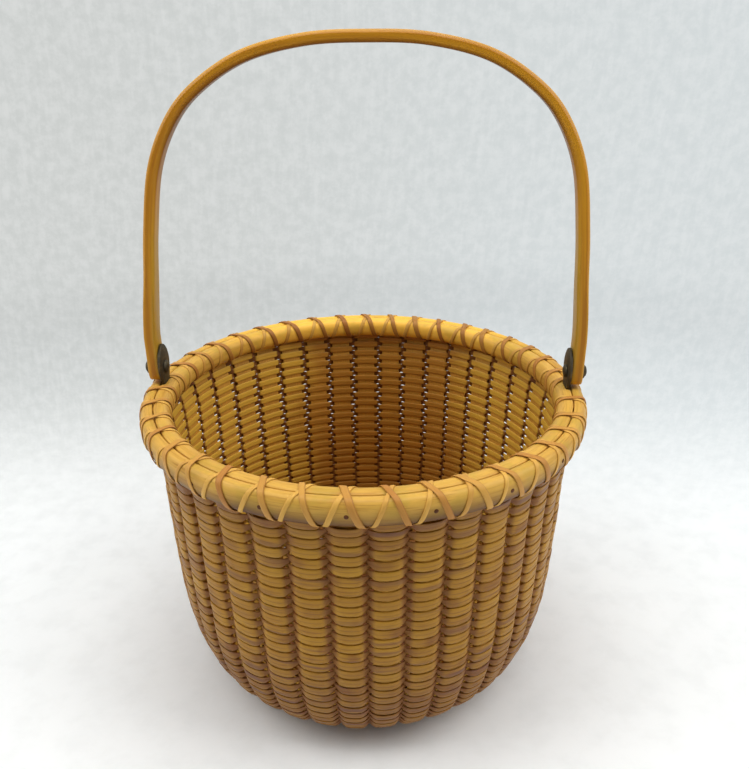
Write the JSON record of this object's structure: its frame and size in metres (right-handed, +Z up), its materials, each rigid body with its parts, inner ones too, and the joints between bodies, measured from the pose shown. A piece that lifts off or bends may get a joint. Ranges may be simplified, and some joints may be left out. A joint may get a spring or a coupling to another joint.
{
  "type": "handled basket",
  "caption": "Round woven cane basket with tapered uprights set in a turned wooden base, lashed double rim hoops and a riveted swing handle of bent wood.",
  "frame": {"origin": "centre of the base's underside, which is the middle of the bottom of the bounding box", "axes": "+Z up through the basket's axis; X runs through the two ears and the handle's pivots; the front of the basket faces -Y"},
  "size_m": [0.1991, 0.1993, 0.2823],
  "materials": {
    "base_wood": "satin turned wood",
    "stave_wood": "plain split wood",
    "woven_cane": "aged natural cane, satin",
    "hoop_wood": "satin bent wood",
    "lashing_cane": "aged natural cane, satin",
    "aged_brass": "dark patina",
    "handle_wood": "clear varnish",
    "rivet_brass": "dark patina"
  },
  "bodies": {
    "basket": {"base": "base_wood", "stave_01": "stave_wood", "stave_02": "stave_wood", "stave_03": "stave_wood", "stave_04": "stave_wood", "stave_05": "stave_wood", "stave_06": "stave_wood", "stave_07": "stave_wood", "stave_08": "stave_wood", "stave_09": "stave_wood", "stave_10": "stave_wood", "stave_11": "stave_wood", "stave_12": "stave_wood", "stave_13": "stave_wood", "stave_14": "stave_wood", "stave_15": "stave_wood", "stave_16": "stave_wood", "stave_17": "stave_wood", "stave_18": "stave_wood", "stave_19": "stave_wood", "stave_20": "stave_wood", "stave_21": "stave_wood", "stave_22": "stave_wood", "stave_23": "stave_wood", "stave_24": "stave_wood", "stave_25": "stave_wood", "stave_26": "stave_wood", "stave_27": "stave_wood", "stave_28": "stave_wood", "stave_29": "stave_wood", "stave_30": "stave_wood", "stave_31": "stave_wood", "stave_32": "stave_wood", "stave_33": "stave_wood", "stave_34": "stave_wood", "stave_35": "stave_wood", "stave_36": "stave_wood", "stave_37": "stave_wood", "stave_38": "stave_wood", "stave_39": "stave_wood", "woven_wall": "woven_cane", "inner_hoop": "hoop_wood", "outer_hoop": "hoop_wood", "rim_lashing": "lashing_cane", "ear_left": "aged_brass", "ear_right": "aged_brass", "rivet_left": "rivet_brass", "rivet_right": "rivet_brass", "washer_left": "rivet_brass", "washer_right": "rivet_brass"},
    "swing_handle": {"handle": "handle_wood"}
  },
  "joints": [
    {"name": "handle_swing", "type": "hinge", "parent": "basket", "child": "swing_handle", "pos_m": [0, 0, 0.1447], "axis": [1, 0, 0], "range_deg": [-92, 92]}
  ]
}
